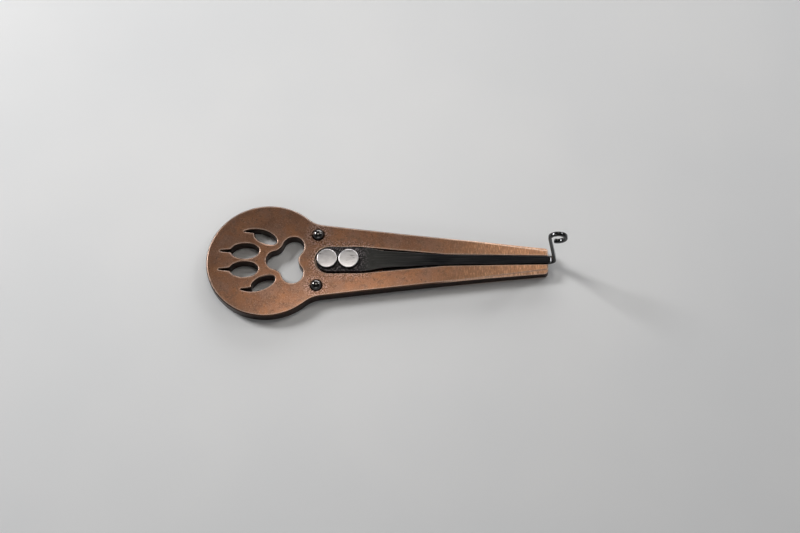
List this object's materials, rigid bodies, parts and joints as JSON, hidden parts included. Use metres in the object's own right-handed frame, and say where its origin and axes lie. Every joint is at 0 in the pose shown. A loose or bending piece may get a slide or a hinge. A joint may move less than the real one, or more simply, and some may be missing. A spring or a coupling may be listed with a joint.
{
  "type": "jaw harp",
  "caption": "Plate jaw harp: round handle with a paw cut-out, two tapering arms, and a riveted steel reed that swings in the slot between them and ends in a bent trigger with a loop.",
  "frame": {"origin": "on the flat back face, on the reed's centre line, midway between the two reed rivets", "axes": "+X along the reed towards the trigger, +Z out of the front face, +Y to the left of a viewer who looks along +X"},
  "size_m": [0.0997, 0.034, 0.0196],
  "materials": {
    "copper_plate": "copper-brown, tumbled satin with worn edges and filed tips",
    "spring_steel": "dark satin, ground along its length",
    "flat_rivet": "light satin",
    "dome_rivet": "dark polished steel"
  },
  "bodies": {
    "body": {"frame": "copper_plate", "reed_base": "spring_steel", "reed_rivet_rear": "flat_rivet", "reed_rivet_front": "flat_rivet", "dome_rivet_left": "dome_rivet", "dome_rivet_right": "dome_rivet"},
    "tongue": {"reed_tongue": "spring_steel"}
  },
  "joints": [
    {"name": "reed_flex", "type": "hinge", "parent": "body", "child": "tongue", "pos_m": [0.0126, 0, 0.0031], "axis": [0, -1, 0], "range_deg": [-8, 8], "stiffness_Nm_per_rad": 0.25}
  ]
}
